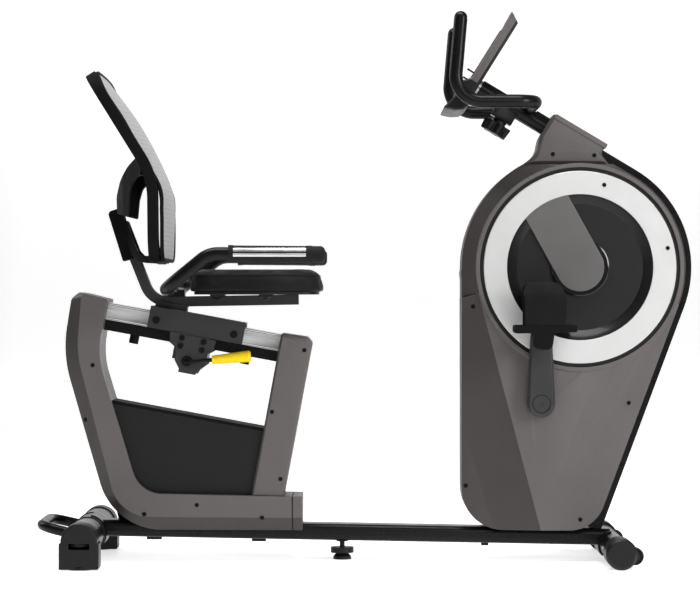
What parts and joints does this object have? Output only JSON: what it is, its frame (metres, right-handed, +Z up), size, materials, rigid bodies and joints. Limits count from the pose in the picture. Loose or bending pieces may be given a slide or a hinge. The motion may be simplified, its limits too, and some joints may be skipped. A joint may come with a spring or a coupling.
{
  "type": "recumbent exercise bike",
  "caption": "Recumbent exercise bike: cushioned seat with mesh backrest sliding on a sloping rail, covered flywheel drive with cranks and strap pedals, console and handlebar on a raked mast.",
  "frame": {"origin": "on the floor, below the centre of the bounding box", "axes": "+X the way the rider faces, +Y to the rider's left, +Z up"},
  "size_m": [1.583, 0.6158, 1.3213],
  "materials": {
    "black_paint": "satin powder coat",
    "plate_paint": "satin powder coat",
    "taupe_plastic": "fine moulded texture",
    "black_plastic": "fine moulded texture",
    "dark_panel": "smooth satin",
    "silver_plastic": "silver painted",
    "aluminium": "anodised",
    "rubber": "matte",
    "grip_foam": "fine grained",
    "yellow_rubber": "soft matte",
    "vinyl": "grained vinyl over foam",
    "mesh": "open knitted mesh",
    "steel": "machined",
    "chrome": "polished",
    "iron": "machined",
    "screen": "glossy"
  },
  "bodies": {
    "frame": {"base_beam": "black_paint", "rear_stabilizer": "black_paint", "front_stabilizer": "black_paint", "rear_feet": "black_plastic", "front_end_caps": "black_plastic", "front_frame": "black_paint", "crank_bearings": "steel", "drive_belt": "rubber", "resistance_motor": "black_plastic", "housing_right": "taupe_plastic", "housing_left": "taupe_plastic", "neck_covers": "taupe_plastic", "accent_rings": "silver_plastic", "disc_covers": "screen", "cover_screws": "black_plastic", "seat_frame": "black_paint", "seat_rail": "aluminium", "rail_stops": "rubber", "rear_shroud_right": "taupe_plastic", "rear_shroud_left": "taupe_plastic", "post_covers": "taupe_plastic", "infill_panel": "dark_panel", "mast": "black_paint", "handlebar": "black_paint"},
    "seat_carriage": {"carriage_bracket": "plate_paint", "carriage_bolts": "steel", "seat_beam": "plate_paint", "seat_pan": "black_plastic", "seat_cushion": "vinyl", "seat_handle": "black_paint", "hand_grips": "grip_foam", "pulse_sensors": "chrome", "backrest_yoke": "plate_paint", "backrest_frame": "black_plastic", "backrest_mesh": "mesh"},
    "rear_rollers": {"rear_rollers": "black_plastic"},
    "front_rollers": {"front_rollers": "black_plastic"},
    "lock_lever": {"lock_lever": "black_paint", "lever_grip": "yellow_rubber"},
    "lock_shoe": {"lock_shoe": "black_plastic"},
    "crank": {"crank_axle": "steel", "drive_pulley": "black_plastic", "crank_arm_right": "black_paint", "crank_arm_left": "black_paint"},
    "pedal_right": {"pedal_right": "black_plastic", "pedal_strap_right": "rubber"},
    "pedal_left": {"pedal_left": "black_plastic", "pedal_strap_left": "rubber"},
    "flywheel": {"flywheel": "iron"},
    "idler": {"idler": "black_plastic"},
    "magnet_arm": {"magnet_arm": "black_paint"},
    "console": {"console_tube": "steel", "console_shell": "black_plastic", "console_screen": "screen"},
    "clamp_knob": {"clamp_knob": "black_plastic"},
    "transport_wheel_right": {"transport_wheel_right": "black_plastic"},
    "transport_wheel_left": {"transport_wheel_left": "black_plastic"},
    "leveller_right": {"leveller_right": "black_plastic"},
    "leveller_left": {"leveller_left": "black_plastic"},
    "centre_leveller": {"centre_leveller": "black_plastic"}
  },
  "joints": [
    {"name": "seat_slide", "type": "slide", "parent": "frame", "child": "seat_carriage", "axis": [0.9833, 0, -0.1822], "range_m": [-0.088, 0.073]},
    {"name": "rear_roller_spin", "type": "hinge", "parent": "seat_carriage", "child": "rear_rollers", "pos_m": [-0.50706, 0, 0.58327], "axis": [0, 1, 0], "continuous": true},
    {"name": "front_roller_spin", "type": "hinge", "parent": "seat_carriage", "child": "front_rollers", "pos_m": [-0.31926, 0, 0.54846], "axis": [0, 1, 0], "continuous": true},
    {"name": "lock_lever_lift", "type": "hinge", "parent": "seat_carriage", "child": "lock_lever", "pos_m": [-0.43199, 0, 0.48402], "axis": [0, -1, 0], "range_deg": [0, 25], "stiffness_Nm_per_rad": 3, "springref_deg": -14.32},
    {"name": "lock_shoe_drop", "type": "slide", "parent": "seat_carriage", "child": "lock_shoe", "axis": [-0.1822, 0, -0.9833], "range_m": [0, 0.0031]},
    {"name": "crank_spin", "type": "hinge", "parent": "frame", "child": "crank", "pos_m": [0.421, 0, 0.383], "axis": [0, 1, 0], "continuous": true},
    {"name": "pedal_right_spin", "type": "hinge", "parent": "crank", "child": "pedal_right", "pos_m": [0.421, -0.1845, 0.543], "axis": [0, 1, 0], "continuous": true},
    {"name": "pedal_left_spin", "type": "hinge", "parent": "crank", "child": "pedal_left", "pos_m": [0.421, 0.1845, 0.223], "axis": [0, 1, 0], "continuous": true},
    {"name": "flywheel_spin", "type": "hinge", "parent": "frame", "child": "flywheel", "pos_m": [0.516, 0, 0.711], "axis": [0, 1, 0], "continuous": true},
    {"name": "idler_spin", "type": "hinge", "parent": "frame", "child": "idler", "pos_m": [0.61835, 0, 0.54399], "axis": [0, 1, 0], "continuous": true},
    {"name": "magnet_swing", "type": "hinge", "parent": "frame", "child": "magnet_arm", "pos_m": [0.35492, 0, 0.804], "axis": [0, -1, 0], "range_deg": [0, 5]},
    {"name": "console_slide", "type": "slide", "parent": "frame", "child": "console", "axis": [-0.8572, 0, 0.515], "range_m": [0, 0.07]},
    {"name": "knob_turn", "type": "hinge", "parent": "frame", "child": "clamp_knob", "pos_m": [0.35071, 0, 1.10605], "axis": [-0.515, 0, -0.8572], "range_deg": [0, 360]},
    {"name": "transport_wheel_right_spin", "type": "hinge", "parent": "frame", "child": "transport_wheel_right", "pos_m": [0.631, -0.25, 0.03], "axis": [0, 1, 0], "continuous": true},
    {"name": "transport_wheel_left_spin", "type": "hinge", "parent": "frame", "child": "transport_wheel_left", "pos_m": [0.631, 0.25, 0.03], "axis": [0, 1, 0], "continuous": true},
    {"name": "leveller_right_screw", "type": "slide", "parent": "frame", "child": "leveller_right", "axis": [0, 0, -1], "range_m": [0, 0.005]},
    {"name": "leveller_left_screw", "type": "slide", "parent": "frame", "child": "leveller_left", "axis": [0, 0, -1], "range_m": [0, 0.005]},
    {"name": "centre_leveller_screw", "type": "slide", "parent": "frame", "child": "centre_leveller", "axis": [0, 0, -1], "range_m": [0, 0.008]}
  ],
  "couplings": [
    {"joint": "rear_roller_spin", "follows": "seat_slide", "rad_per_m": 66.667},
    {"joint": "front_roller_spin", "follows": "seat_slide", "rad_per_m": 66.667},
    {"joint": "lock_shoe_drop", "follows": "lock_lever_lift", "m_per_rad": 0.006875},
    {"joint": "flywheel_spin", "follows": "crank_spin", "ratio": 5.9091},
    {"joint": "idler_spin", "follows": "crank_spin", "ratio": -6.5}
  ]
}
